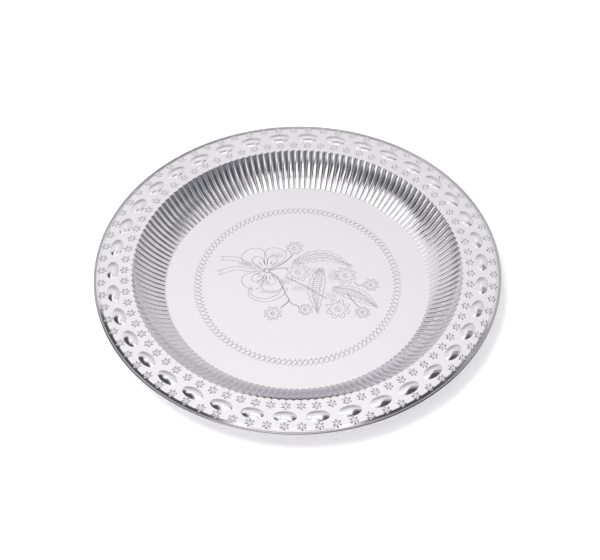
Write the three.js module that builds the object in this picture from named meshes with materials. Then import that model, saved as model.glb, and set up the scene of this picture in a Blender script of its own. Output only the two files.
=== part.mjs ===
// Round serving tray: one steel sheet pressed into a floor, a fluted wall and a bossed rim,
// and the wire that its outer edge is rolled round. Millimetres, Z up, origin under the middle of the floor.
import * as THREE from 'three';

// Sheet
const SHEET = 0.5;

// Floor and fluted wall
const FLOOR_RADIUS = 133.9;
const WELL_DEPTH = 25.9;
const WALL_RUN = 28.6;
const WALL_BOW = 2.7;
const RIBS_PER_BOSS = 4;
const RIB_HEIGHT = 1;
const RIB_END = 4;

// Flat rim and its ring of oval bosses
const RIM_WIDTH = 31.6;
const BOSS_COUNT = 38;
const BOSS_LENGTH = 22;
const BOSS_WIDTH = 12.6;
const BOSS_HEIGHT = 2;

// Stamped flowers in a row on each side of the bosses, one beside each boss and one in each gap
const FLOWER_LENGTH = 9.4;
const FLOWER_HEIGHT = 1.1;
const INNER_FLOWER_CLEARANCE = 1.5;
const OUTER_FLOWER_CLEARANCE = 0.4;

// Shoulder and rolled edge
const SHOULDER_RUN = 3.2;
const SHOULDER_DROP = 1.1;
const WIRE_DIAMETER = 1.4;
const WIRE_CLEARANCE = 0.3;
const ROLL_START = THREE.MathUtils.degToRad(143);
const ROLL_TURN = THREE.MathUtils.degToRad(300);

// Facets: columns round the tray, steps along the curves, and points and rings of a boss and a flower
const RIB_COUNT = RIBS_PER_BOSS * BOSS_COUNT;
const EDGE_COLUMNS_PER_BOSS = 2;
const EDGE_COLUMNS = EDGE_COLUMNS_PER_BOSS * BOSS_COUNT;
const SHOULDER_STEPS = 2;
const ROLL_STEPS = 6;
const WIRE_SIDES = 8;
const BOSS_POINTS = 8;
const BOSS_RINGS = [1, 0.6];
const FLOWER_POINTS = 6;
const FLOWER_RINGS = [1];

const RIM_INNER = FLOOR_RADIUS + WALL_RUN;
const RIM_OUTER = RIM_INNER + RIM_WIDTH;
const RIM_TOP = SHEET + WELL_DEPTH;

const foot = new THREE.Vector2(FLOOR_RADIUS, SHEET);
const brow = new THREE.Vector2(RIM_INNER, RIM_TOP);
const shoulder = new THREE.Vector2(RIM_OUTER, RIM_TOP);
const groove = new THREE.Vector2(RIM_OUTER + SHOULDER_RUN, RIM_TOP - SHOULDER_DROP);

// The bead's outside starts at the groove, and its middle is the middle of the wire.
const beadRadius = WIRE_DIAMETER / 2 + WIRE_CLEARANCE + SHEET;
const beadCentre = new THREE.Vector2(
  groove.x - beadRadius * Math.cos(ROLL_START),
  groove.y - beadRadius * Math.sin(ROLL_START),
);
const BOSS_CIRCLE = (RIM_INNER + beadCentre.x + beadRadius) / 2;
const BOSS_INNER = BOSS_CIRCLE - BOSS_WIDTH / 2;
const BOSS_OUTER = BOSS_CIRCLE + BOSS_WIDTH / 2;

// One boss has one sector of the rim. The edge's columns lie halfway between its flowers.
const SECTOR = (2 * Math.PI) / BOSS_COUNT;
const EDGE_SHIFT = 0.5;

const boss = {
  radius: BOSS_CIRCLE,
  width: BOSS_WIDTH,
  length: BOSS_LENGTH,
  height: BOSS_HEIGHT,
  points: BOSS_POINTS,
  rings: BOSS_RINGS,
};
const innerFlower = flower(RIM_INNER, BOSS_INNER, INNER_FLOWER_CLEARANCE);
const outerFlower = flower(BOSS_OUTER, RIM_OUTER, OUTER_FLOWER_CLEARANCE);

const steel = new THREE.MeshStandardMaterial({ color: 0xdcd9dc, roughness: 0.2, metalness: 1 });
const wireSteel = new THREE.MeshStandardMaterial({ color: 0xb9b7b8, roughness: 0.35, metalness: 1 });

// A flower between two circles of the rim, clear of both
function flower(inner, outer, clearance) {
  return {
    radius: (inner + outer) / 2,
    width: outer - inner - 2 * clearance,
    length: FLOWER_LENGTH,
    height: FLOWER_HEIGHT,
    points: FLOWER_POINTS,
    rings: FLOWER_RINGS,
  };
}

// Side view of the wall's inside face, a straight cone bowed outwards
function wallCurve() {
  const outward = new THREE.Vector2(WELL_DEPTH, -WALL_RUN).setLength(2 * WALL_BOW);
  const control = foot.clone().lerp(brow, 0.5).add(outward);
  return new THREE.QuadraticBezierCurve(foot, control, brow);
}

function wallPoints() {
  const curve = wallCurve();
  const end = RIB_END / curve.getLength();
  return [0, end, 0.5, 1 - end, 1].map((share) => curve.getPoint(share));
}

// Side view of the sheet's outside face past the flat rim: the shoulder, the groove and the roll
function edgePoints() {
  const control = new THREE.Vector2(RIM_OUTER + SHOULDER_RUN / 2, RIM_TOP);
  const fall = new THREE.QuadraticBezierCurve(shoulder, control, groove);
  const roll = new THREE.EllipseCurve(
    beadCentre.x, beadCentre.y, beadRadius, beadRadius, ROLL_START, ROLL_START - ROLL_TURN, true,
  );
  return [...fall.getPoints(SHOULDER_STEPS), ...roll.getPoints(ROLL_STEPS).slice(1)];
}

// At each point of a side view, the step to the sheet's other face that keeps its thickness
function stepsThroughSheet(points) {
  const across = (a, b) => new THREE.Vector2(b.y - a.y, a.x - b.x).normalize();
  const sides = points.slice(1).map((point, i) => across(points[i], point));
  return points.map((_, i) => {
    const before = sides[Math.max(i - 1, 0)];
    const after = sides[Math.min(i, sides.length - 1)];
    return before.clone().add(after).multiplyScalar(SHEET / (1 + before.dot(after)));
  });
}

function polar(radius, turn, height) {
  return new THREE.Vector3(radius * Math.cos(turn), radius * Math.sin(turn), height);
}

// A ring of points round the tray, taking its side-view points in turn
function ring(points, columns, shift = 0) {
  return Array.from({ length: columns }, (_, i) => {
    const { x, y } = points[i % points.length];
    return polar(x, (2 * Math.PI * (i + shift)) / columns, y);
  });
}

// Triangles between a closed ring of points and the next ring out, mirrored from column to column
function band(inner, outer) {
  return inner.flatMap((_, i) => {
    const j = (i + 1) % inner.length;
    return i % 2
      ? [inner[i], outer[i], inner[j], inner[j], outer[i], outer[j]]
      : [inner[i], outer[i], outer[j], inner[i], outer[j], inner[j]];
  });
}

// Triangles of the ribs' ends, between the ring where the ribs close and the ring of their lows and crests
function ribEnds(closed, ribs) {
  return closed.flatMap((start, i) => {
    const end = closed[(i + 1) % closed.length];
    const before = ribs[2 * i];
    const crest = ribs[2 * i + 1];
    const after = ribs[(2 * i + 2) % ribs.length];
    return [start, before, crest, start, crest, end, end, crest, after];
  });
}

function bands(rings) {
  return rings.slice(1).flatMap((outer, i) => band(rings[i], outer));
}

// Triangles from a middle point out to a ring
function fan(middle, outer) {
  return outer.flatMap((point, i) => [middle, point, outer[(i + 1) % outer.length]]);
}

// Outline of a boss or a flower, drawn in to a share of its size, on the dome that rises from a base height
function outline(ornament, turn, share, base) {
  const { radius, width, length, height, points } = ornament;
  const axis = new THREE.Vector3(0, 0, 1);
  return Array.from({ length: points }, (_, i) => {
    const a = (2 * Math.PI * i) / points;
    const out = radius + (share * width * Math.cos(a)) / 2;
    const along = (share * length * Math.sin(a)) / 2;
    return new THREE.Vector3(out, along, base + height * (1 - share * share)).applyAxisAngle(axis, turn);
  });
}

function dome(ornament, turn, base) {
  const rings = ornament.rings.map((share) => outline(ornament, turn, share, base));
  const top = outline(ornament, turn, 0, base)[0];
  return [...bands(rings.reverse()), ...fan(top, rings[0])];
}

// The points of a ring from halfway to the flower before a boss, round to the same place at the next boss
function arc(points, index) {
  const columns = points.length / BOSS_COUNT;
  const first = points.length + index * columns - 1;
  return Array.from({ length: columns + 1 }, (_, i) => points[(first + i) % points.length]);
}

// Side of a sector, from the wall out: between two flowers, between two bosses and between two flowers again
function sectorSide(turn, base) {
  return [
    polar(BOSS_INNER, turn - SECTOR / 4, base),
    polar(BOSS_CIRCLE, turn - SECTOR / 2, base),
    polar(BOSS_OUTER, turn - SECTOR / 4, base),
  ];
}

// A boss, its flowers and the flat rim round them, from the wall's ring of points out to the shoulder's
function rimSector(inner, outer, flowers, index) {
  const base = inner[0].z;
  const turn = SECTOR * index;
  const border = [
    ...arc(outer, index),
    ...sectorSide(turn + SECTOR, base).reverse(),
    ...arc(inner, index).reverse(),
    ...sectorSide(turn, base),
  ];
  const inPairs = flowers.flatMap((kind) => [[kind, turn], [kind, turn + SECTOR / 2]]);
  const ornaments = [[boss, turn], ...inPairs];
  const holes = ornaments.map(([ornament, place]) => outline(ornament, place, 1, base));
  const corners = [border, ...holes].flat();
  const flat = THREE.ShapeUtils.triangulateShape(border, holes).flat().map((i) => corners[i]);
  return [...flat, ...ornaments.flatMap(([ornament, place]) => dome(ornament, place, base))];
}

function rimFace(inner, outer, flowers) {
  return Array.from({ length: BOSS_COUNT }, (_, i) => rimSector(inner, outer, flowers, i)).flat();
}

// One face of the sheet, facing up, from its points, the points of its rib crests and its kinds of flower
function sheetFace(floorZ, wall, crests, edge, flowers) {
  const closed = [wall[0], wall.at(-1)].map((point) => ring([point], RIB_COUNT));
  const ribs = wall.slice(1, -1).map((point, i) => ring([point, crests[i + 1]], 2 * RIB_COUNT));
  const edgeRings = edge.map((point) => ring([point], EDGE_COLUMNS, EDGE_SHIFT));
  const triangles = [
    ...fan(new THREE.Vector3(0, 0, floorZ), closed[0]),
    ...ribEnds(closed[0], ribs[0]),
    ...bands(ribs),
    ...ribEnds(closed[1], ribs.at(-1)).reverse(),
    ...rimFace(closed[1], edgeRings[0], flowers),
    ...bands(edgeRings),
  ];
  return { triangles, end: edgeRings.at(-1) };
}

function trayPan() {
  const wall = wallPoints();
  const edge = edgePoints();
  const profile = [new THREE.Vector2(0, SHEET), ...wall, ...edge];
  const steps = stepsThroughSheet(profile);
  const under = profile.map((point, i) => point.clone().add(steps[i]));
  const ribbed = (i) => i > 1 && i < wall.length;
  const crest = (point, i) => (ribbed(i) ? point.clone().addScaledVector(steps[i], -RIB_HEIGHT / SHEET) : point);
  const wallPart = (points) => points.slice(1, 1 + wall.length);
  const edgePart = (points) => points.slice(1 + wall.length);

  const flowers = [innerFlower, outerFlower];
  const top = sheetFace(SHEET, wallPart(profile), wallPart(profile.map(crest)), edgePart(profile), flowers);
  const bottom = sheetFace(0, wallPart(under), wallPart(under.map(crest)), edgePart(under), []);
  const lip = band(top.end, bottom.end);
  const geometry = new THREE.BufferGeometry();
  geometry.setFromPoints([...top.triangles, ...lip, ...bottom.triangles.reverse()]);
  geometry.computeVertexNormals();
  const mesh = new THREE.Mesh(geometry, steel);
  mesh.name = 'tray_pan';
  return mesh;
}

function edgeWire() {
  const geometry = new THREE.TorusGeometry(beadCentre.x, WIRE_DIAMETER / 2, WIRE_SIDES, EDGE_COLUMNS);
  const mesh = new THREE.Mesh(geometry, wireSteel);
  mesh.name = 'edge_wire';
  mesh.position.z = beadCentre.y;
  mesh.rotation.z = (2 * Math.PI * EDGE_SHIFT) / EDGE_COLUMNS;
  return mesh;
}

const tray = new THREE.Group();
tray.add(trayPan(), edgeWire());

export default tray;
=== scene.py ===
import math

import bpy
import numpy as np
from mathutils import Matrix, Vector
from mathutils.geometry import delaunay_2d_cdt


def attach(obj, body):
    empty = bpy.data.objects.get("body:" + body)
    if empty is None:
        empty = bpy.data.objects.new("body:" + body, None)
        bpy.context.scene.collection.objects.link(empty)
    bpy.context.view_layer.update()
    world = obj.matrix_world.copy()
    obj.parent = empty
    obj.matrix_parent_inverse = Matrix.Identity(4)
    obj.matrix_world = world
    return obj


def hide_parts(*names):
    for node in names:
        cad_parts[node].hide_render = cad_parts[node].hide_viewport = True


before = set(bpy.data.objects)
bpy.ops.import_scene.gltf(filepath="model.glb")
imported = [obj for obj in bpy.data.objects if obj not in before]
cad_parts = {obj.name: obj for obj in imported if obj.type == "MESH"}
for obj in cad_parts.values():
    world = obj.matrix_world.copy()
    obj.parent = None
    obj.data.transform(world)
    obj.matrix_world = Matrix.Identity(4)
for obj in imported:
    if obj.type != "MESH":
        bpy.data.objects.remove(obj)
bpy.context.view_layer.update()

# Sizes of the pressed sheet in millimetres, as in the solids
MM = 0.001
SHEET = 0.5
FLOOR_RADIUS = 133.9
WELL_DEPTH = 25.9
WALL_RUN = 28.6
WALL_BOW = 2.7
RIM_WIDTH = 31.6
SHOULDER_RUN = 3.2
SHOULDER_DROP = 1.1
WIRE_DIAMETER = 1.4
WIRE_CLEARANCE = 0.3
ROLL_START = math.radians(143)
ROLL_TURN = math.radians(300)

# Share of the shoulder's run that is bent
SHOULDER_BEND = 0.25

# Places that follow from the sizes
RIM_INNER = FLOOR_RADIUS + WALL_RUN
RIM_OUTER = RIM_INNER + RIM_WIDTH
RIM_TOP = SHEET + WELL_DEPTH
BEAD_RADIUS = WIRE_DIAMETER / 2 + WIRE_CLEARANCE + SHEET
GROOVE = np.array([RIM_OUTER + SHOULDER_RUN, RIM_TOP - SHOULDER_DROP])
BEAD_CENTRE = GROOVE - BEAD_RADIUS * np.array([math.cos(ROLL_START), math.sin(ROLL_START)])
TRAY_RADIUS = BEAD_CENTRE[0] + BEAD_RADIUS

# Ribs of the wall: how far out their grooves and crests lie at the foot and the brow, and their form
BOSSES = 38
RIBS = 4 * BOSSES
FOOT_GROOVE, FOOT_RIB = -1.2, -3.2
BROW_GROOVE, BROW_RIB = 0.6, -0.8
FOOT_FULLNESS, BROW_FULLNESS = 6.0, 2.4
FOOT_BEND, BROW_BEND = 1.0, 0.6
FLAT_PAST_BEND = 1.4

# Oval bosses and flowers of the rim
BOSS_CIRCLE = (RIM_INNER + TRAY_RADIUS) / 2
BOSS_LENGTH = 22.0
BOSS_WIDTH = 12.6
BOSS_HEIGHT = 2.0
FLOWERS = 2 * BOSSES
FLOWER_CIRCLES = (169.4, 191.9)
PETALS = 6
PETAL_REACH = 2.95
PETAL_LENGTH = 3.8
PETAL_WIDTH = 2.5
PETAL_TAPER = 0.3
PETAL_HEIGHT = 1.2
PETAL_SOFTNESS = 0.9
BUTTON_RADIUS = 0.75
BUTTON_HEIGHT = 0.3

# Columns of facets round the tray
SECTOR = 2 * math.pi / BOSSES
WALL_COLUMNS_TOP = 8
WALL_COLUMNS_UNDER = 4
COLUMN_CROWDING = 0.55
EDGE_COLUMNS = 8 * BOSSES
ROLL_STEPS_OUTSIDE = 20
ROLL_STEPS_INSIDE = 12
WIRE_COLUMNS = 4 * BOSSES
WIRE_SIDES = 12

# Small steps for slopes, and tolerances
TURN_STEP = 1e-4
PLACE_STEP = 1e-3
LEAST_LENGTH = 1e-12
LEAST_WIDTH = 1e-3
ROUNDING = 1e-9
RIM_TOLERANCE = 1e-6
FLOOR_TOLERANCE = 1e-4

# Material slots of the pan
POLISHED, SPUN, ENGRAVED, ROLLED = 0, 1, 2, 3


class Skin:
    """Patches of triangles, each corner with its own normal, welded into one closed mesh."""

    WELD = 1e-4

    def __init__(self):
        self.points = []
        self.triangles = []
        self.normals = []
        self.slots = []
        self.count = 0

    def add(self, points, triangles, normals=None, slot=POLISHED, under=False):
        """Adds a patch that faces up, or one on the underside. Without normals its facets stay flat."""
        points = np.asarray(points, float).reshape(-1, 3)
        triangles = np.asarray(triangles, int).reshape(-1, 3)
        if normals is None:
            a, b, c = (points[triangles[:, i]] for i in range(3))
            facet = np.cross(b - a, c - a)
            corners = np.repeat(unit(facet)[:, None], 3, axis=1)
        else:
            corners = np.asarray(normals, float).reshape(-1, 3)[triangles]
        if under:
            triangles = triangles[:, ::-1]
            corners = -corners[:, ::-1]
        self.points.append(points)
        self.triangles.append(triangles + self.count)
        self.normals.append(corners)
        self.slots.append(np.full(len(triangles), slot))
        self.count += len(points)

    def mesh(self, name, materials):
        """The welded mesh, without the triangles that the weld has closed up."""
        points = np.concatenate(self.points)
        cells = np.round(points / self.WELD).astype(np.int64)
        _, first, same = np.unique(cells, axis=0, return_index=True, return_inverse=True)
        triangles = same.reshape(-1)[np.concatenate(self.triangles)]
        a, b, c = triangles.T
        whole = (a != b) & (b != c) & (c != a)
        mesh = bpy.data.meshes.new(name)
        mesh.from_pydata((points[first] * MM).tolist(), [], triangles[whole].tolist())
        for material in materials:
            mesh.materials.append(material)
        mesh.polygons.foreach_set("material_index", np.concatenate(self.slots)[whole].astype(np.int32))
        mesh.polygons.foreach_set("use_smooth", np.ones(whole.sum(), bool))
        mesh.normals_split_custom_set(np.concatenate(self.normals)[whole].reshape(-1, 3).tolist())
        mesh.update()
        return mesh


def unit(vectors):
    length = np.linalg.norm(vectors, axis=-1, keepdims=True)
    return vectors / np.maximum(length, LEAST_LENGTH)


def turned(points, angle):
    """Points of the plane, or of space, turned about the tray's axis."""
    cos, sin = math.cos(angle), math.sin(angle)
    made = np.array(points, float)
    x, y = made[..., 0].copy(), made[..., 1].copy()
    made[..., 0] = x * cos - y * sin
    made[..., 1] = x * sin + y * cos
    return made


def ring(radius, height, angles):
    """Points round the tray's axis."""
    height = np.broadcast_to(height, angles.shape)
    return np.stack([radius * np.cos(angles), radius * np.sin(angles), height], -1)


def grid_triangles(rows, columns):
    """Triangles between the rings of a closed grid, each ring further out along the sheet."""
    row, column = np.meshgrid(np.arange(rows - 1), np.arange(columns), indexing="ij")
    here, there = row * columns + column, row * columns + (column + 1) % columns
    up = np.stack([here, here + columns, there + columns], -1)
    down = np.stack([here, there + columns, there], -1)
    return np.concatenate([up.reshape(-1, 3), down.reshape(-1, 3)])


def nearest_of(x, y, count, radius):
    """Offsets from the nearest of the ornaments set round a circle: outwards, and along it."""
    away, turn = np.hypot(x, y), np.arctan2(y, x)
    step = 2 * math.pi / count
    off = turn - np.round(turn / step) * step
    return away * np.cos(off) - radius, away * np.sin(off)


# Wall

FLAT = np.array([1.0, 0.0])
WALL_FOOT = np.array([FLOOR_RADIUS, SHEET])
WALL_BROW = np.array([RIM_INNER, RIM_TOP])
WALL_OUT = np.array([WELL_DEPTH, -WALL_RUN]) / math.hypot(WELL_DEPTH, WALL_RUN)
WALL_CONTROL = (WALL_FOOT + WALL_BROW) / 2 + 2 * WALL_BOW * WALL_OUT
WALL_START = FLOOR_RADIUS + FOOT_RIB - FLAT_PAST_BEND * FOOT_BEND
WALL_END = RIM_INNER + BROW_GROOVE + FLAT_PAST_BEND * BROW_BEND

# Length of the bowed wall in the side view, to a tenth
WALL_LENGTH = 39.1


def quadratic(start, control, end, t):
    """Points of a bend in the side view, each with its direction along the sheet."""
    t = np.asarray(t, float)[:, None]
    points = (1 - t) ** 2 * start + 2 * t * (1 - t) * control + t**2 * end
    along = unit((1 - t) * (control - start) + t * (end - control))
    return np.concatenate([points, along], axis=1)


def wall_profile(bends, middles):
    """Side view of the wall's inside face, from the flat floor through two bends to the flat rim.

    Each row has a place, a direction along the sheet, how far out the groove and the rib lie there,
    and how full the rib is.
    """
    low, high = FOOT_BEND / WALL_LENGTH, 1 - BROW_BEND / WALL_LENGTH
    share = np.linspace(low, high, middles + 2)
    wall = quadratic(WALL_FOOT, WALL_CONTROL, WALL_BROW, share)
    turn = np.linspace(0, 1, bends + 1)
    foot = quadratic(WALL_FOOT - FOOT_BEND * FLAT, WALL_FOOT, wall[0, :2], turn)
    brow = quadratic(wall[-1, :2], WALL_BROW, WALL_BROW + BROW_BEND * FLAT, turn)
    share = np.concatenate([0 * turn, share[1:-1], 0 * turn + 1])[:, None]
    foot_ribs = np.array([FOOT_GROOVE, FOOT_RIB, FOOT_FULLNESS])
    brow_ribs = np.array([BROW_GROOVE, BROW_RIB, BROW_FULLNESS])
    out = foot_ribs + share * (brow_ribs - foot_ribs)
    rows = np.concatenate([np.concatenate([foot, wall[1:-1], brow]), out], axis=1)
    first = [[WALL_START, SHEET, *FLAT, 0, 0, FOOT_FULLNESS]]
    last = [[WALL_END, RIM_TOP, *FLAT, 0, 0, BROW_FULLNESS]]
    return np.concatenate([first, rows, last])


def rib_share(theta, fullness):
    """Share of a rib's height at a turn: 0 in the grooves and 1 along its crest."""
    across = 2 * np.mod(theta * RIBS / (2 * math.pi), 1.0) - 1
    return 1 - np.abs(across) ** fullness


def rib_angles(per_rib):
    """Turns of the wall's columns, closer together near the grooves."""
    even = np.arange(per_rib) / per_rib
    share = even - COLUMN_CROWDING / (2 * math.pi) * np.sin(2 * math.pi * even)
    return ((np.arange(RIBS)[:, None] + share) * (2 * math.pi / RIBS)).reshape(-1)


def add_wall_face(skin, per_rib, bends, middles, thickness):
    """One face of the wall, from a ring on the floor to one on the rim, where the ribs run out."""
    profile = wall_profile(bends, middles)
    r, z, along_r, along_z, groove, rib, full = (column[:, None] for column in profile.T)
    theta = np.tile(rib_angles(per_rib), (len(profile), 1))
    radius = r + groove + (rib - groove) * rib_share(theta, full) + thickness * along_z
    rise = rib_share(theta + TURN_STEP, full) - rib_share(theta - TURN_STEP, full)
    steep = (rib - groove) * rise / (2 * TURN_STEP)
    inward, aside, up = -along_z, along_z * steep / radius, along_r + 0 * theta
    cos, sin = np.cos(theta), np.sin(theta)
    normals = np.stack([inward * cos - aside * sin, inward * sin + aside * cos, up], -1)
    points = ring(radius, z - thickness * along_r, theta)
    skin.add(points, grid_triangles(*theta.shape), unit(normals), under=thickness > 0)


def add_wall(skin):
    """Both faces of the wall. The underside, which is seen less, has fewer facets."""
    add_wall_face(skin, WALL_COLUMNS_TOP, bends=4, middles=5, thickness=0.0)
    add_wall_face(skin, WALL_COLUMNS_UNDER, bends=2, middles=3, thickness=SHEET)


# Groove beside the bead

def mitre(point, before, after):
    """A corner of the sheet's other face, where two stretches of its side view meet."""
    a, b = (np.array([d[1], -d[0]]) / np.hypot(*d) for d in (before, after))
    return point + SHEET * (a + b) / (1 + a @ b)


GROOVE_SLOPE = np.array([SHOULDER_RUN, -SHOULDER_DROP / (1 - SHOULDER_BEND / 2)])
ROLL_SLOPE = np.array([math.sin(ROLL_START), -math.cos(ROLL_START)])
GROOVE_UNDER = mitre(GROOVE, GROOVE_SLOPE, ROLL_SLOPE)


# Rim

# Contours of a boss and of a petal, from the edge inwards: share of the full size, and points
BOSS_RINGS = {
    "top": ((1.005, 40), (0.985, 40), (0.84, 28), (0.66, 20), (0.45, 14), (0.22, 8), (0.0, 1)),
    "under": ((1.005, 20), (0.985, 20), (0.72, 14), (0.4, 8), (0.0, 1)),
}
EDGE_RINGS = 2
PETAL_RINGS = {
    "top": ((1.02, 12), (0.72, 9), (0.36, 5), (0.0, 1)),
    "under": ((1.0, 7), (0.55, 5), (0.0, 1)),
}
BUTTON_POINTS = {"top": 6, "under": 3}

# Circles of the plain rim between the ornaments: radius, and points in a sector
RIM_CIRCLES = {
    "top": (
        (RIM_INNER + 2.7, 14), (RIM_INNER + 12.0, 10), (RIM_OUTER - 7.1, 10),
        (RIM_OUTER, 16), (RIM_OUTER + 1.1, 16), (RIM_OUTER + 2.2, 16),
    ),
    "under": ((RIM_INNER + 2.5, 10), (RIM_OUTER, 10), (RIM_OUTER + 1.7, 10)),
}
BOSS_MARGIN = 1.0
FLOWER_MARGIN = 0.4
JITTER = 1e-4
JITTER_PHASE = 12.9898


def petal_width(u):
    """Half the width of a petal, which grows outwards."""
    return PETAL_WIDTH / 2 * (1 + PETAL_TAPER * (u - PETAL_REACH) / (PETAL_LENGTH / 2))


def flower_relief(u, v):
    """Height of a punched flower, from the offsets outwards and along the rim from its middle."""
    height = BUTTON_HEIGHT * np.clip(1 - (u**2 + v**2) / BUTTON_RADIUS**2, 0, None)
    for petal in range(PETALS):
        turn = 2 * math.pi * petal / PETALS
        along = u * math.cos(turn) + v * math.sin(turn)
        across = v * math.cos(turn) - u * math.sin(turn)
        share = ((along - PETAL_REACH) / (PETAL_LENGTH / 2)) ** 2
        share += (across / np.maximum(petal_width(along), LEAST_WIDTH)) ** 2
        share = np.where(along > 0, share, 1)
        height = height + PETAL_HEIGHT * np.clip(1 - share, 0, 1) ** PETAL_SOFTNESS
    return height


def boss_relief(u, v):
    """Height of an oval dome, from the offsets outwards and along the rim from its middle."""
    share = (u / (BOSS_WIDTH / 2)) ** 2 + (v / (BOSS_LENGTH / 2)) ** 2
    return BOSS_HEIGHT * np.clip(1 - share, 0, 1)


def shoulder_fall(radius):
    """Fall of the shoulder below the flat rim: a short bend, then a straight slope."""
    share = np.clip((radius - RIM_OUTER) / SHOULDER_RUN, 0, None)
    bend = np.minimum(share, SHOULDER_BEND)
    fall = bend**2 / (2 * SHOULDER_BEND) + share - bend
    return SHOULDER_DROP * fall / (1 - SHOULDER_BEND / 2)


def rim_height(x, y):
    """Height of the rim's top face: flat, falling at the shoulder, with bosses and flowers on it."""
    height = RIM_TOP - shoulder_fall(np.hypot(x, y))
    height = height + boss_relief(*nearest_of(x, y, BOSSES, BOSS_CIRCLE))
    for circle in FLOWER_CIRCLES:
        height = height + flower_relief(*nearest_of(x, y, FLOWERS, circle))
    return height


def rim_normals(x, y):
    d = PLACE_STEP
    slope_x = (rim_height(x + d, y) - rim_height(x - d, y)) / (2 * d)
    slope_y = (rim_height(x, y + d) - rim_height(x, y - d)) / (2 * d)
    return unit(np.stack([-slope_x, -slope_y, np.ones_like(slope_x)], -1))


def contour(count, shift=0.0):
    """Even turns round a closed contour."""
    return 2 * math.pi * (np.arange(count) + shift) / count


def boss_points(rings):
    """Points on the contours of a boss on the X axis. Those of the two at its edge lie side by side."""
    made = []
    for i, (share, count) in enumerate(rings):
        a = contour(count, 0.5 * (i >= EDGE_RINGS and i % 2))
        u, v = share * BOSS_WIDTH / 2 * np.cos(a), share * BOSS_LENGTH / 2 * np.sin(a)
        made.append(np.stack([BOSS_CIRCLE + u, v], -1))
    return np.concatenate(made)


def flower_points(circle, rings, button):
    """Points on the contours of a flower's petals and round its middle, for a flower on the X axis."""
    made = [np.zeros((1, 2))]
    a = contour(button, 0.5)
    made.append(BUTTON_RADIUS * np.stack([np.cos(a), np.sin(a)], -1))
    for share, count in rings:
        a = contour(count)
        u = PETAL_REACH + share * PETAL_LENGTH / 2 * np.cos(a)
        v = share * petal_width(u) * np.sin(a)
        made += [turned(np.stack([u, v], -1), 2 * math.pi * p / PETALS) for p in range(PETALS)]
    return np.concatenate(made) + np.array([circle, 0.0])


def arc_points(radius, count, shift=0.0):
    """Evenly spaced points of one sector of a circle, from its start up to the next sector's."""
    return ring(radius, 0.0, SECTOR * ((np.arange(count) + shift) / count - 0.5))[:, :2]


def clear_of_ornament(points):
    """The points that keep clear of every boss and flower."""
    x, y = points.T
    u, v = nearest_of(x, y, BOSSES, BOSS_CIRCLE)
    free = (u / (BOSS_WIDTH / 2 + BOSS_MARGIN)) ** 2 + (v / (BOSS_LENGTH / 2 + BOSS_MARGIN)) ** 2 > 1
    for circle in FLOWER_CIRCLES:
        away = np.hypot(*nearest_of(x, y, FLOWERS, circle))
        free &= away > PETAL_REACH + PETAL_LENGTH / 2 + FLOWER_MARGIN
    return points[free]


def closed_loops(counts, start):
    """Edges of closed contours, whose points follow one another in a list."""
    edges = []
    for count in counts:
        index = start + np.arange(count)
        edges.append(np.stack([index, np.roll(index, -1)], -1))
        start += count
    return np.concatenate(edges)


def sector_triangles(points, inner_count, edges):
    """Triangles of one sector of the rim, from points and edges that repeat in each sector.

    A corner is given as a step to the sector before or after, and an index. Points past the inner
    ring are moved a little for the triangulation, so that it has no even choice to make.
    """
    jitter = JITTER * np.sin(np.arange(2 * len(points)) * JITTER_PHASE).reshape(-1, 2)
    jitter[:inner_count] = 0
    spread = np.concatenate([turned(points + jitter, SECTOR * step) for step in (-1, 0, 1)])
    kept = np.concatenate([edges + len(points) * copy for copy in range(3)])
    found = delaunay_2d_cdt([Vector(p) for p in spread], kept.tolist(), [], 0, RIM_TOLERANCE, True)
    source = np.array([ids[0] for ids in found[3]])
    triangles = source[np.array(found[2])]
    middle = spread[triangles].mean(axis=1)
    turn = np.arctan2(middle[:, 1], middle[:, 0])
    index = triangles % len(points)
    keep = (turn >= -SECTOR / 2) & (turn < SECTOR / 2) & ~(index < inner_count).all(axis=1)
    return triangles[keep] // len(points) - 1, index[keep]


def add_rim(skin, inner, outer, inner_angles, loose, loops, under=False):
    """One face of the rim, between a ring of the wall's points and the groove beside the bead."""
    columns = EDGE_COLUMNS // BOSSES
    first = ring(inner[0], 0.0, inner_angles)[:, :2]
    last = arc_points(outer[0], columns)
    plan = np.concatenate([first, last, loose])
    x, y = plan.T
    height = rim_height(x, y) - (SHEET if under else 0.0)
    height[: len(first)] = inner[1]
    height[len(first) : len(first) + len(last)] = outer[1]
    steps, index = sector_triangles(plan, len(first), closed_loops(loops, len(first) + len(last)))
    points = np.concatenate([plan, height[:, None]], axis=1)
    normals = rim_normals(x, y)
    everywhere = [turned(points, SECTOR * k) for k in range(BOSSES)]
    facing = [turned(normals, SECTOR * k) for k in range(BOSSES)]
    triangles = [((k + steps) % BOSSES) * len(plan) + index for k in range(BOSSES)]
    skin.add(np.concatenate(everywhere), np.concatenate(triangles), np.concatenate(facing), under=under)


def rim_points(boss_rings, petal_rings, button, circles):
    """Points of one sector of the rim: its boss, its flowers and the plain sheet between them."""
    flowers = [
        turned(flower_points(circle, petal_rings, button), turn)
        for circle in FLOWER_CIRCLES
        for turn in (0.0, SECTOR / 2)
    ]
    plain = [clear_of_ornament(arc_points(radius, count, 0.5)) for radius, count in circles]
    return np.concatenate([boss_points(boss_rings), *flowers, *plain])


def first_sector(angles):
    """The wall's columns that fall in the sector of the first boss."""
    off = np.mod(angles + SECTOR / 2, 2 * math.pi)
    return np.sort(off[off < SECTOR - ROUNDING]) - SECTOR / 2


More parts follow.
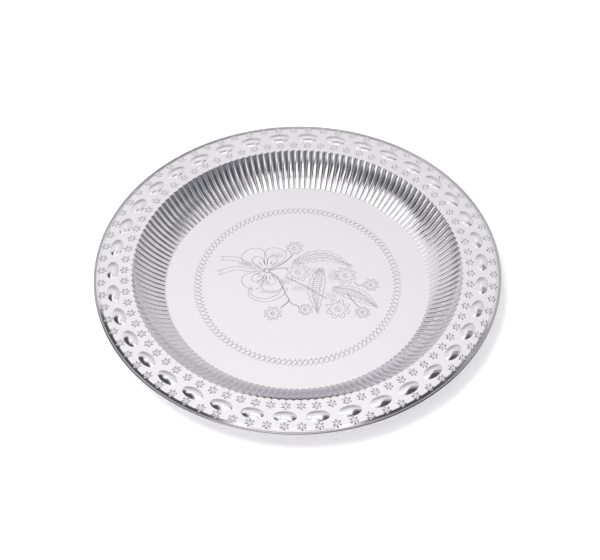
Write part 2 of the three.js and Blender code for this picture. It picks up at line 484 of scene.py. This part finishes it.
def add_rims(skin):
    """Both faces of the rim. The underside, which is seen less, has fewer facets."""
    for name, columns, height, outer, under in (
        ("top", WALL_COLUMNS_TOP, RIM_TOP, GROOVE, False),
        ("under", WALL_COLUMNS_UNDER, RIM_TOP - SHEET, GROOVE_UNDER, True),
    ):
        loose = rim_points(BOSS_RINGS[name], PETAL_RINGS[name], BUTTON_POINTS[name], RIM_CIRCLES[name])
        loops = [count for _, count in BOSS_RINGS[name][:EDGE_RINGS]]
        angles = first_sector(rib_angles(columns))
        add_rim(skin, (WALL_END, height), outer, angles, loose, loops, under=under)


# Rolled edge

def add_roll(skin):
    """The bead: the sheet's outside and inside, rolled round the wire, and the lip where it ends."""
    angles = SECTOR * (np.arange(EDGE_COLUMNS) / (EDGE_COLUMNS // BOSSES) - 0.5)
    inside = BEAD_RADIUS - SHEET
    for radius, steps, under in (
        (BEAD_RADIUS, ROLL_STEPS_OUTSIDE, False),
        (inside, ROLL_STEPS_INSIDE, True),
    ):
        turns = ROLL_START - np.linspace(0, ROLL_TURN, steps + 1)
        profile = BEAD_CENTRE + radius * np.stack([np.cos(turns), np.sin(turns)], -1)
        points = np.stack([ring(r, z, angles) for r, z in profile])
        normals = np.stack([ring(math.cos(a), math.sin(a), angles) for a in turns])
        if under:
            points[0] = ring(*GROOVE_UNDER, angles)
        # The bead takes the darker rolled steel: painted shade along the edge
        skin.add(points, grid_triangles(*points.shape[:2]), normals, slot=ROLLED, under=under)
    end = ROLL_START - ROLL_TURN
    outwards = np.array([math.cos(end), math.sin(end)])
    lip = [ring(*(BEAD_CENTRE + radius * outwards), angles) for radius in (BEAD_RADIUS, inside)]
    skin.add(lip, grid_triangles(2, EDGE_COLUMNS), slot=ROLLED)


# Engraved floor

# Widths of the strokes, slope of their sides, and the depth from which a facet counts as engraved
FINE, BOLD, HATCH = 0.5, 0.95, 0.4
STROKE_SLOPE = 0.5
ENGRAVED_DEPTH = STROKE_SLOPE * HATCH / 4

# Points whose depth is worked out at a time
DEPTH_BATCH = 500

# Points of the drawn lines, or steps between two of the places that a line runs through
DASH_POINTS = 3
OVAL_POINTS = 11
BLOSSOM_POINTS = 9
LOOP_POINTS = 19
LEAF_STEPS = 12
STEM_STEPS = 6
TAIL_STEPS = 6

# Circles of the plain floor: radius and points
FLOOR_CIRCLES = ((127.5, 608), (121, 304), (111, 152), (70, 60), (90, 76))

# Knot of the bow
KNOT = (-30, 18)
KNOT_RADIUS = 3.2

# Blossoms: middle and radius
BLOSSOMS = (
    ((1, 15), 12.5), ((48, 9), 11.5), ((39, -34), 12.5), ((-2, 47), 9),
    ((73, -4), 8), ((-25, -38), 9), ((7, -34), 7.5), ((63, -39), 7.5),
)
BLOSSOM_PETALS = 8
BLOSSOM_EYE = 0.26
EYE_RINGS = (0.45, 1.0)
BLOSSOM_FOOT = 1.2
BLOSSOM_SPREAD = 0.86
BLOSSOM_WIDEST = 0.72
BLOSSOM_BLUNTNESS = 0.7
BLOSSOM_VEIN = (0.5, 0.78)

# Leaves: base, tip, bend of the midrib and half width
LEAVES = (
    ((-6, 27), (57, 20), 13, 7),
    ((25, 21), (19, -40), -4, 8),
    ((33, -7), (79, -34), 5, 8),
)
LEAF_BELLY = 0.8
LEAF_SCALLOPS = 8
SCALLOP_DEPTH = 0.12
LEAF_VEIN = (0.12, 0.72)

# Stems: points that each runs through
STEMS = (
    (KNOT, (-14, 27), (-3, 39)),
    (KNOT, (-14, 21), (-9, 19)),
    ((-14, 10), (8, -4), (30, -22)),
    ((56, 1), (60, -4), (66, -4)),
    ((-12, -14), (-9, -22), (-18, -32)),
    ((-10, -20), (-6, -26), (2, -30)),
    ((48, -12), (54, -24), (60, -33)),
    (KNOT, (-20, 8), (-11, -16)),
)

# Loops of the bow: direction in degrees, length and width
BOW_LOOPS = ((125, 34, 25), (68, 32, 22), (222, 30, 22), (285, 29, 22))
LOOP_SPAN = (0.06, 0.94)
FOLD_LENGTH, FOLD_WIDTH = 0.66, 0.42
PLEAT_SPAN = (0.2, 0.46)
PLEAT_SLOPES = (-0.36, 0.0, 0.36)

# Loose ends of the ribbon: points that each runs through
TAILS = (
    (KNOT, (-46, 24), (-60, 34), (-78, 36)),
    (KNOT, (-48, 19), (-62, 22), (-80, 16)),
    ((-46, -2), (-47, -14), (-33, -21), (-18, -15), (-12, -4)),
)
TAIL_WIDTH = 6.0
TAIL_START = 0.3
TAIL_NOTCH = 3

# Shaded patches: middle and half sizes
HATCHES = (
    ((20, 16), (6, 7)), ((36, 9), (5, 12)), ((33, -17), (5, 8)),
    ((-20, 38), (7, 6)), ((-34, 3), (6, 7)), ((-12, 3), (6, 6)),
    ((-28, -10), (10, 4)), ((-51, 28), (8, 5)), ((4, -6), (9, 6)),
)
HATCH_PITCH = 1.5

# Ring of scales, each with a dot
SCALE_CIRCLE = 99.8
SCALES = 120
SCALE_LENGTH = 7.2
SCALE_WIDTH = 4.2
SCALE_TILT = math.radians(-24)
DOT_REACH = 0.62
DOT_LENGTH = 1.4
DOT_ASIDE = 0.9


def smooth_curve(points, steps):
    """A smooth curve through a few points."""
    points = np.asarray(points, float)
    ends = np.concatenate([2 * points[:1] - points[1:2], points, 2 * points[-1:] - points[-2:-1]])
    made = []
    for a, b, c, d in zip(ends, ends[1:], ends[2:], ends[3:]):
        t = np.linspace(0, 1, steps, endpoint=False)[:, None]
        slope = (c - a) / 2
        square = a - 2.5 * b + 2 * c - d / 2
        cube = 1.5 * (b - c) + (d - a) / 2
        made.append(b + t * slope + t**2 * square + t**3 * cube)
    return np.concatenate([*made, points[-1:]])


def sideways(points):
    """Directions across a line, to its left."""
    along = unit(np.gradient(points, axis=0))
    return np.stack([-along[:, 1], along[:, 0]], -1)


def placed(along, across, middle, turn):
    """Points given along and across a direction, turned to it and moved to a middle."""
    return turned(np.stack([along, across], -1), turn) + np.asarray(middle, float)


def strokes(width, lines):
    """Lines with the width that they are engraved in."""
    return [(line, width) for line in lines]


def dash(start, end):
    """A short straight line."""
    return np.linspace(start, end, DASH_POINTS)


def oval(middle, half_length, half_width, turn):
    a = np.linspace(0, 2 * math.pi, OVAL_POINTS)
    return placed(half_length * np.cos(a), half_width * np.sin(a), middle, turn)


def blossom(middle, radius):
    """Round petals, each with a short bold vein, about a ringed eye."""
    eye = BLOSSOM_EYE * radius
    foot = BLOSSOM_FOOT * eye
    half = BLOSSOM_SPREAD * math.pi / BLOSSOM_PETALS
    s = np.linspace(0, math.pi, BLOSSOM_POINTS)
    along = foot + (radius - foot) * np.sin(s) ** BLOSSOM_BLUNTNESS
    across = half * BLOSSOM_WIDEST * radius * np.cos(s)
    turns = 2 * math.pi * (np.arange(BLOSSOM_PETALS) + 0.5) / BLOSSOM_PETALS
    outlines = [placed(along, across, middle, turn) for turn in turns]
    vein = radius * dash(*BLOSSOM_VEIN)
    veins = [placed(vein, 0 * vein, middle, turn) for turn in turns]
    rings = [oval(middle, share * eye, share * eye, 0.0) for share in EYE_RINGS]
    return strokes(FINE, outlines + rings) + strokes(BOLD, veins)


def leaf(base, tip, bend, half_width):
    """A leaf with a bent midrib, two scalloped edges and bold slanting veins."""
    base, tip = np.asarray(base, float), np.asarray(tip, float)
    across = np.array([base[1] - tip[1], tip[0] - base[0]]) / np.hypot(*(tip - base))
    rib = smooth_curve([base, (base + tip) / 2 + bend * across, tip], LEAF_STEPS)
    share = np.linspace(0, 1, len(rib))
    scallops = 1 - SCALLOP_DEPTH * np.cos(share * 2 * LEAF_SCALLOPS * math.pi)
    half = half_width * np.sin(math.pi * share**LEAF_BELLY) * scallops
    side = sideways(rib)
    edges = [rib + way * half[:, None] * side for way in (-1, 1)]
    veins = []
    for edge in edges:
        for start, end in zip(rib[1:-3], edge[3:-1]):
            veins.append(dash(*(start + reach * (end - start) for reach in LEAF_VEIN)))
    return strokes(FINE, [rib, *edges]) + strokes(BOLD, veins)


def bow_loop(angle, length, width):
    """A loop of ribbon tied at the knot, with a fold inside it and bold pleats beside the knot."""
    turn = math.radians(angle)
    s = np.linspace(*LOOP_SPAN, LOOP_POINTS) * math.pi
    along, across = length * np.sin(s), width * np.sin(2 * s) / 2
    outline = placed(along, across, KNOT, turn)
    fold = placed(FOLD_LENGTH * along, FOLD_WIDTH * across, KNOT, turn)
    reach = length * dash(*PLEAT_SPAN)
    pleats = [placed(reach, slope * reach, KNOT, turn) for slope in PLEAT_SLOPES]
    return strokes(FINE, [outline, fold]) + strokes(BOLD, pleats)


def ribbon_tail(points):
    """A loose end of ribbon: two edges and a cut end."""
    middle = smooth_curve(points, TAIL_STEPS)
    half = TAIL_WIDTH / 2 * np.linspace(TAIL_START, 1, len(middle))[:, None] * sideways(middle)
    left, right = middle + half, middle - half
    notch = middle[-TAIL_NOTCH]
    return strokes(FINE, [left, right, dash(left[-1], notch), dash(right[-1], notch)])


def hatch(middle, half):
    """A shaded patch of the ground behind the spray: fine upright lines inside an oval."""
    count = int(half[0] / HATCH_PITCH)
    lines = []
    for k in range(-count, count + 1):
        off = k * HATCH_PITCH
        reach = half[1] * math.sqrt(1 - (off / (half[0] + HATCH_PITCH)) ** 2)
        lines.append(placed(np.full(DASH_POINTS, off), dash(-reach, reach), middle, 0.0))
    return strokes(HATCH, lines)


def scale_ring():
    """A ring of small tilted scales, each with a dot at its inner end."""
    outlines, dots = [], []
    inner = SCALE_CIRCLE - DOT_REACH * SCALE_LENGTH * math.cos(SCALE_TILT)
    dot = dash([inner - DOT_LENGTH / 2, DOT_ASIDE], [inner + DOT_LENGTH / 2, DOT_ASIDE])
    for k in range(SCALES):
        turn = 2 * math.pi * k / SCALES
        middle = turned([SCALE_CIRCLE, 0.0], turn)
        outlines.append(oval(middle, SCALE_LENGTH / 2, SCALE_WIDTH / 2, turn + SCALE_TILT))
        dots.append(turned(dot, turn))
    return strokes(FINE, outlines) + strokes(BOLD, dots)


def engraving():
    """All strokes of the floor: the ring of scales, the bow and the spray of flowers."""
    made = scale_ring() + strokes(BOLD, [oval(KNOT, KNOT_RADIUS, KNOT_RADIUS, 0.0)])
    for middle, radius in BLOSSOMS:
        made += blossom(middle, radius)
    for shape in LEAVES:
        made += leaf(*shape)
    for loop in BOW_LOOPS:
        made += bow_loop(*loop)
    for points in TAILS:
        made += ribbon_tail(points)
    for patch in HATCHES:
        made += hatch(*patch)
    return made + strokes(BOLD, [smooth_curve(points, STEM_STEPS) for points in STEMS])


class Plan:
    """Points and edges of a flat drawing, to be filled with triangles."""

    def __init__(self):
        self.points = []
        self.edges = []

    def line(self, points, closed=False):
        first = len(self.points)
        self.points += [tuple(p) for p in points]
        index = list(range(first, len(self.points)))
        self.join(index + index[:1] if closed else index)
        return index

    def join(self, index):
        self.edges += list(zip(index, index[1:]))


def stroke_widths(points, width):
    """Half the width of a stroke along its line, drawn to a point at both ends."""
    half = np.full(len(points), width / 2)
    half[[0, -1]] = 0
    return half


def add_stroke(plan, points, width):
    """Draws a stroke on a plan: its middle line and both its edges."""
    off = (stroke_widths(points, width)[:, None] * sideways(points))[1:-1]
    middle = plan.line(points)
    for way in (-1, 1):
        side = plan.line(points[1:-1] + way * off)
        plan.join([middle[0], *side, middle[-1]])


def stroke_depth(points, drawing):
    """Depth of the cut at each point: a groove with sloping sides along each stroke."""
    a = np.concatenate([line[:-1] for line, _ in drawing])
    b = np.concatenate([line[1:] for line, _ in drawing])
    wide_a = np.concatenate([stroke_widths(*stroke)[:-1] for stroke in drawing])
    wide_b = np.concatenate([stroke_widths(*stroke)[1:] for stroke in drawing])
    run = b - a
    depth = np.zeros(len(points))
    for start in range(0, len(points), DEPTH_BATCH):
        part = points[start : start + DEPTH_BATCH, None]
        t = np.clip(((part - a) * run).sum(-1) / (run**2).sum(-1), 0, 1)
        away = np.linalg.norm(part - a - t[..., None] * run, axis=-1)
        cut = wide_a + t * (wide_b - wide_a) - away
        depth[start : start + DEPTH_BATCH] = STROKE_SLOPE * np.clip(cut.max(axis=1), 0, None)
    return depth


def add_floor(skin):
    """Both faces of the floor: the engraved top, and the flat underside."""
    drawing = engraving()
    plan = Plan()
    plan.line(ring(WALL_START, 0.0, rib_angles(WALL_COLUMNS_TOP))[:, :2], closed=True)
    for radius, count in FLOOR_CIRCLES:
        plan.line(ring(radius, 0.0, contour(count))[:, :2])
    for stroke in drawing:
        add_stroke(plan, *stroke)
    found = delaunay_2d_cdt([Vector(p) for p in plan.points], plan.edges, [], 0, FLOOR_TOLERANCE, True)
    flat = np.array([plan.points[ids[0]] if ids else tuple(p) for p, ids in zip(found[0], found[3])])
    depth = stroke_depth(flat, drawing)
    triangles = np.array(found[2])
    # Facets cut deeper than this take the darker engraved steel: painted shade in the grooves
    slots = np.where(depth[triangles].max(axis=1) > ENGRAVED_DEPTH, ENGRAVED, SPUN)
    skin.add(np.concatenate([flat, (SHEET - depth)[:, None]], axis=1), triangles, slot=slots)
    angles = rib_angles(WALL_COLUMNS_UNDER)
    points = np.concatenate([np.zeros((1, 3)), ring(WALL_START, 0.0, angles)])
    index = 1 + np.arange(len(angles))
    fan = np.stack([np.zeros_like(index), index, np.roll(index, -1)], -1)
    skin.add(points, fan, slot=SPUN, under=True)


# Materials

STEEL = (0.86, 0.84, 0.865)
WIRE_STEEL = (0.62, 0.61, 0.62)
# Darker tone of the engraved cuts: painted shade in the grooves; their rougher gloss is the cut's own
ENGRAVED_STEEL_PAINTED_SHADE = (0.46, 0.455, 0.47)
# Darker tone of the rolled bead: painted shade along the tray's edge
ROLLED_STEEL_PAINTED_SHADE = (0.5, 0.49, 0.505)

# Clouds of tarnish
TARNISH = 0.95
CLOUD_SCALE = 16.0
CLOUD_DETAIL = 3.0
CLOUD_START, CLOUD_FULL = 0.3, 0.7

# Scratches: directions in degrees, scale along and across them, and where they start in the noise
SCRATCH_TURNS = (20, 75, -50)
SCRATCH_SCALE = (25.0, 1400.0, 1.0)
SCRATCH_DETAIL = 2.0
SCRATCH_START, SCRATCH_FULL = 0.66, 0.8
SCRATCH_DULL = 0.12

# Grain: even, or in circles with a scale across and along them
GRAIN_SCALE = 2500.0
GRAIN_DETAIL = 2.0
LATHE_SCALE = (1800.0, 3.0)
DRAWN_SCALE = (6000.0, 40.0)
RING_DETAIL = 3.0
BUMP_DEPTH = 0.01 * MM


def node(tree, kind, inputs, **settings):
    """Adds a node to a tree and gives its outputs. Each input is a value or another node's output."""
    made = tree.nodes.new(kind)
    for name, value in settings.items():
        setattr(made, name, value)
    for name, value in inputs.items():
        if isinstance(value, bpy.types.NodeSocket):
            tree.links.new(value, made.inputs[name])
        else:
            made.inputs[name].default_value = value
    return made.outputs


def math_node(tree, operation, *values):
    return node(tree, "ShaderNodeMath", dict(enumerate(values)), operation=operation)[0]


def mix_colours(tree, share, first, second):
    return node(tree, "ShaderNodeMix", {0: share, 6: first, 7: second}, data_type="RGBA")[2]


def remap(tree, value, start, end, low, high):
    inputs = {"Value": value, "From Min": start, "From Max": end, "To Min": low, "To Max": high}
    return node(tree, "ShaderNodeMapRange", inputs, interpolation_type="SMOOTHSTEP")["Result"]


def noise(tree, vector, scale, detail):
    return node(tree, "ShaderNodeTexNoise", {"Vector": vector, "Scale": scale, "Detail": detail})[0]


def scratches(tree, place):
    """Fine straight scratches from wiping, in a few directions."""
    mask = 0.0
    for turn in SCRATCH_TURNS:
        inputs = {"Vector": place, "Rotation": (0, 0, math.radians(turn)), "Scale": SCRATCH_SCALE}
        along = node(tree, "ShaderNodeMapping", inputs)[0]
        mask = math_node(tree, "MAXIMUM", mask, noise(tree, along, 1.0, SCRATCH_DETAIL))
    return remap(tree, mask, SCRATCH_START, SCRATCH_FULL, 0.0, 1.0)


def even_grain(tree, place):
    return noise(tree, place, GRAIN_SCALE, GRAIN_DETAIL)


def ring_grain(tree, place, scale):
    """Grain that runs in circles round the tray's axis: close across the circles, long along them."""
    x, y, z = node(tree, "ShaderNodeSeparateXYZ", {0: place})
    squares = [math_node(tree, "MULTIPLY", value, value) for value in (x, y)]
    radius = math_node(tree, "SQRT", math_node(tree, "ADD", *squares))
    turn = math_node(tree, "ARCTAN2", y, x)
    across = math_node(tree, "MULTIPLY", radius, scale[0])
    along = math_node(tree, "MULTIPLY", turn, scale[1])
    height = math_node(tree, "MULTIPLY", z, scale[0])
    spread = node(tree, "ShaderNodeCombineXYZ", {0: across, 1: along, 2: height})[0]
    return noise(tree, spread, 1.0, RING_DETAIL)


def lathe_grain(tree, place):
    return ring_grain(tree, place, LATHE_SCALE)


def drawn_grain(tree, place):
    return ring_grain(tree, place, DRAWN_SCALE)


def steel(name, colour, roughness, grain, bump, brushed=0.0):
    """Steel with faint clouds of tarnish, fine scratches and a grain, which all change its gloss."""
    material = bpy.data.materials.new(name)
    material.use_nodes = True
    tree = material.node_tree
    shader = tree.nodes["Principled BSDF"]
    shader.inputs["Metallic"].default_value = 1.0
    shader.inputs["Anisotropic"].default_value = brushed
    if brushed:
        round_axis = node(tree, "ShaderNodeTangent", {}, direction_type="RADIAL", axis="Z")[0]
        tree.links.new(round_axis, shader.inputs["Tangent"])
    place = node(tree, "ShaderNodeTexCoord", {})["Object"]
    clouds = noise(tree, place, CLOUD_SCALE, CLOUD_DETAIL)
    dulled = tuple(TARNISH * value for value in colour)
    tone = mix_colours(tree, clouds, (*dulled, 1), (*colour, 1))
    tree.links.new(tone, shader.inputs["Base Color"])
    marks = scratches(tree, place)
    lines = grain(tree, place)
    cloudy = remap(tree, clouds, CLOUD_START, CLOUD_FULL, *roughness)
    scratched = math_node(tree, "MULTIPLY_ADD", marks, SCRATCH_DULL, cloudy)
    rough = math_node(tree, "MULTIPLY_ADD", lines, roughness[1] - roughness[0], scratched)
    tree.links.new(rough, shader.inputs["Roughness"])
    relief = math_node(tree, "SUBTRACT", lines, marks)
    inputs = {"Strength": bump, "Distance": BUMP_DEPTH, "Height": relief}
    tree.links.new(node(tree, "ShaderNodeBump", inputs)["Normal"], shader.inputs["Normal"])
    return material


polished = steel("polished_steel", STEEL, roughness=(0.08, 0.11), grain=even_grain, bump=0.05)
spun = steel("spun_steel", STEEL, roughness=(0.13, 0.18), grain=lathe_grain, bump=0.15, brushed=0.4)
engraved = steel("engraved_steel_painted_shade", ENGRAVED_STEEL_PAINTED_SHADE, roughness=(0.3, 0.38), grain=even_grain, bump=0.15)
rolled = steel("rolled_steel_painted_shade", ROLLED_STEEL_PAINTED_SHADE, roughness=(0.14, 0.2), grain=drawn_grain, bump=0.1)
drawn = steel("drawn_wire", WIRE_STEEL, roughness=(0.3, 0.4), grain=drawn_grain, bump=0.6)


# Pieces

def add_pan():
    """The pressed sheet. Its materials are in the order of the slots."""
    skin = Skin()
    add_floor(skin)
    add_wall(skin)
    add_rims(skin)
    add_roll(skin)
    mesh = skin.mesh("pressed_pan", [polished, spun, engraved, rolled])
    pan = bpy.data.objects.new("pressed_pan", mesh)
    bpy.context.collection.objects.link(pan)
    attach(pan, "root")
    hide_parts("tray_pan")


def add_wire():
    """The wire inside the rolled edge, as a smooth ring."""
    turns, sides = contour(WIRE_COLUMNS), contour(WIRE_SIDES)
    turn, side = np.meshgrid(turns, sides, indexing="ij")
    radius = BEAD_CENTRE[0] + WIRE_DIAMETER / 2 * np.cos(side)
    points = ring(radius, BEAD_CENTRE[1] + WIRE_DIAMETER / 2 * np.sin(side), turn)
    normals = ring(np.cos(side), np.sin(side), turn)
    index = np.arange(turn.size).reshape(turn.shape)
    ahead, up = np.roll(index, -1, axis=0), np.roll(index, -1, axis=1)
    both = np.roll(ahead, -1, axis=1)
    triangles = np.stack([index, ahead, both, index, both, up], -1)
    skin = Skin()
    skin.add(points, triangles, normals)
    wire = bpy.data.objects.new("rolled_wire", skin.mesh("rolled_wire", [drawn]))
    bpy.context.collection.objects.link(wire)
    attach(wire, "root")
    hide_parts("edge_wire")


add_pan()
add_wire()


# Stage, in metres

GROUND_SIZE = 60
GROUND_DROP = 0.0003
GROUND_COLOUR = (0.94, 0.94, 0.94, 1)
GROUND_ROUGHNESS = 0.9
GROUND_GLOW = 0.28


def add_stage():
    """A white ground that glows a little where it is seen or mirrored, and still takes shadows."""
    bpy.ops.mesh.primitive_plane_add(size=GROUND_SIZE, location=(0, 0, -GROUND_DROP))
    ground = bpy.context.object
    ground.name = "ground"
    material = bpy.data.materials.new("white_ground")
    material.use_nodes = True
    tree = material.node_tree
    shader = tree.nodes["Principled BSDF"]
    shader.inputs["Base Color"].default_value = GROUND_COLOUR
    shader.inputs["Roughness"].default_value = GROUND_ROUGHNESS
    shader.inputs["Specular IOR Level"].default_value = 0.0
    shader.inputs["Emission Color"].default_value = (1, 1, 1, 1)
    path = node(tree, "ShaderNodeLightPath", {})
    seen = math_node(tree, "MAXIMUM", path["Is Camera Ray"], path["Is Glossy Ray"])
    seen = math_node(tree, "MAXIMUM", seen, path["Is Transmission Ray"])
    tree.links.new(math_node(tree, "MULTIPLY", seen, GROUND_GLOW), shader.inputs["Emission Strength"])
    ground.data.materials.append(material)


STUDIO_COLOUR = (0.9, 0.885, 0.905)

# Patches of the studio: in degrees the turn, angle from straight up, reach and half soft edge; colour
STUDIO_PATCHES = (
    (93, 33, 7, 7, (1.08, 1.075, 1.085)),
    (90, 105, 42, 15, (0.44, 0.45, 0.48)),
    (30, 100, 45, 28, (0.72, 0.72, 0.74)),
    (-90, 92, 46, 14, (0.42, 0.43, 0.46)),
    (-155, 95, 48, 14, (0.22, 0.225, 0.24)),
    (-45, 85, 44, 12, (0.18, 0.187, 0.205)),
    (-138, 64, 19, 8, (1.25, 1.25, 1.27)),
    (0, 0, 14, 10, (0.5, 0.5, 0.52)),
)

# Colours of the cards
DARK = (0.08, 0.084, 0.094, 1)
GREY = (0.34, 0.345, 0.36, 1)
DIM = (0.12, 0.126, 0.14, 1)
WHITE = (1.4, 1.4, 1.4, 1)

# Cards: name, place, half sizes, turn in degrees, width of the soft edge, and colour
CARDS = (
    ("dim_card_front", (-0.02, -0.3, 0.73), (0.93, 0.44), 0, 0.12, DIM),
    ("dark_card_left", (-0.71, 0.03, 0.73), (0.6, 0.38), -33, 0.12, DARK),
    ("grey_card_right", (0.66, 0.0, 0.73), (0.44, 0.4), 0, 0.12, GREY),
    ("low_card_right", (0.34, -0.19, 0.3), (0.26, 0.16), 0, 0.1, DARK),
    ("low_card_left", (-0.47, -0.06, 0.3), (0.23, 0.26), 0, 0.1, DARK),
    ("low_card_near", (-0.27, -0.15, 0.31), (0.16, 0.15), 0, 0.1, DARK),
    ("softbox_back", (-0.04, -0.14, 0.72), (0.34, 0.32), 0, 0.14, WHITE),
    ("softbox_front", (-0.16, -0.5, 0.72), (0.3, 0.3), 0, 0.2, WHITE),
    ("softbox_left", (-0.58, 0.06, 0.72), (0.4, 0.3), 0, 0.14, WHITE),
)

# Lamp that throws the shadow
KEY_PLACE = (-0.38, -0.2, 1.2)
KEY_SIZE = 0.7
KEY_ENERGY = 12.0


def direction(azimuth, zenith):
    """Unit vector from a compass turn, counted from +X, and an angle from straight up, in degrees."""
    turn, tilt = math.radians(azimuth), math.radians(zenith)
    return math.sin(tilt) * math.cos(turn), math.sin(tilt) * math.sin(turn), math.cos(tilt)


def add_world():
    """A pale studio with darker and brighter round patches, each with a soft edge."""
    world = bpy.data.worlds.new("studio")
    bpy.context.scene.world = world
    world.use_nodes = True
    tree = world.node_tree
    coords = node(tree, "ShaderNodeTexCoord", {})["Generated"]
    tone = (*STUDIO_COLOUR, 1)
    for azimuth, zenith, reach, edge, colour in STUDIO_PATCHES:
        inputs = {0: coords, 1: direction(azimuth, zenith)}
        facing = node(tree, "ShaderNodeVectorMath", inputs, operation="DOT_PRODUCT")["Value"]
        limits = (math.cos(math.radians(reach + edge)), math.cos(math.radians(reach - edge)))
        share = remap(tree, facing, *limits, 0.0, 1.0)
        tone = mix_colours(tree, share, tone, (*colour, 1))
    tree.links.new(tone, tree.nodes["Background"].inputs["Color"])


def add_card(name, place, half, turn, edge, colour):
    """A card with soft edges, hung over the tray and seen only in the steel."""
    mesh = bpy.data.meshes.new(name)
    corners = [(half[0] * x, half[1] * y, 0) for x, y in ((-1, -1), (1, -1), (1, 1), (-1, 1))]
    mesh.from_pydata(corners, [], [(0, 1, 2, 3)])
    material = bpy.data.materials.new(name)
    material.use_nodes = True
    tree = material.node_tree
    shader = tree.nodes["Principled BSDF"]
    shader.inputs["Base Color"].default_value = (0, 0, 0, 1)
    shader.inputs["Specular IOR Level"].default_value = 0.0
    shader.inputs["Emission Color"].default_value = colour
    shader.inputs["Emission Strength"].default_value = 1.0
    coords = node(tree, "ShaderNodeTexCoord", {})["Object"]
    x, y, _ = node(tree, "ShaderNodeSeparateXYZ", {0: coords})
    fades = [
        remap(tree, math_node(tree, "ABSOLUTE", value), reach - edge, reach, 1.0, 0.0)
        for value, reach in ((x, half[0]), (y, half[1]))
    ]
    tree.links.new(math_node(tree, "MULTIPLY", *fades), shader.inputs["Alpha"])
    mesh.materials.append(material)
    card = bpy.data.objects.new(name, mesh)
    card.location = place
    card.rotation_euler.z = math.radians(turn)
    bpy.context.collection.objects.link(card)
    card.visible_camera = False
    card.visible_diffuse = False
    card.visible_shadow = False


def add_key():
    """A lamp on the left that throws the tray's shadow to the right, and isn't seen in the steel."""
    lamp = bpy.data.lights.new("key", "AREA")
    lamp.shape = "DISK"
    lamp.size = KEY_SIZE
    lamp.energy = KEY_ENERGY
    key = bpy.data.objects.new("key", lamp)
    key.location = KEY_PLACE
    key.rotation_euler = Vector(KEY_PLACE).to_track_quat("Z", "Y").to_euler()
    key.visible_glossy = False
    bpy.context.collection.objects.link(key)


# Camera fitted to the photograph

SENSOR_WIDTH = 36
IMAGE_WIDTH = 600
FOCAL_PIXELS = 1540.0
CAMERA_DISTANCE = 8.347 * BOSS_CIRCLE
CAMERA_ELEVATION = math.radians(48.773)
CAMERA_TURN = math.radians(-90.62)
CAMERA_ROLL = math.radians(-0.8047)
AXIS_OFF_CENTRE = (-2.788, -13.711)


def add_camera():
    """A camera that looks at the middle of the rim's plane, which the offset moves off the centre."""
    camera = bpy.data.cameras.new("camera")
    camera.sensor_width = SENSOR_WIDTH
    camera.lens = SENSOR_WIDTH * FOCAL_PIXELS / IMAGE_WIDTH
    camera.shift_x = -AXIS_OFF_CENTRE[0] / IMAGE_WIDTH
    camera.shift_y = AXIS_OFF_CENTRE[1] / IMAGE_WIDTH
    level, rise = math.cos(CAMERA_ELEVATION), math.sin(CAMERA_ELEVATION)
    cos, sin = math.cos(CAMERA_TURN), math.sin(CAMERA_TURN)
    back = Vector((level * cos, level * sin, rise))
    right = Vector((-sin, cos, 0))
    up = back.cross(right)
    across = right * math.cos(CAMERA_ROLL) + up * math.sin(CAMERA_ROLL)
    place = Vector((0, 0, RIM_TOP * MM)) + back * CAMERA_DISTANCE * MM
    turn = Matrix((across, back.cross(across), back)).transposed().to_4x4()
    eye = bpy.data.objects.new("camera", camera)
    eye.matrix_world = Matrix.Translation(place) @ turn
    bpy.context.collection.objects.link(eye)
    bpy.context.scene.camera = eye


add_stage()
add_world()
for card in CARDS:
    add_card(*card)
add_key()
add_camera()
bpy.context.scene.view_settings.view_transform = "Standard"
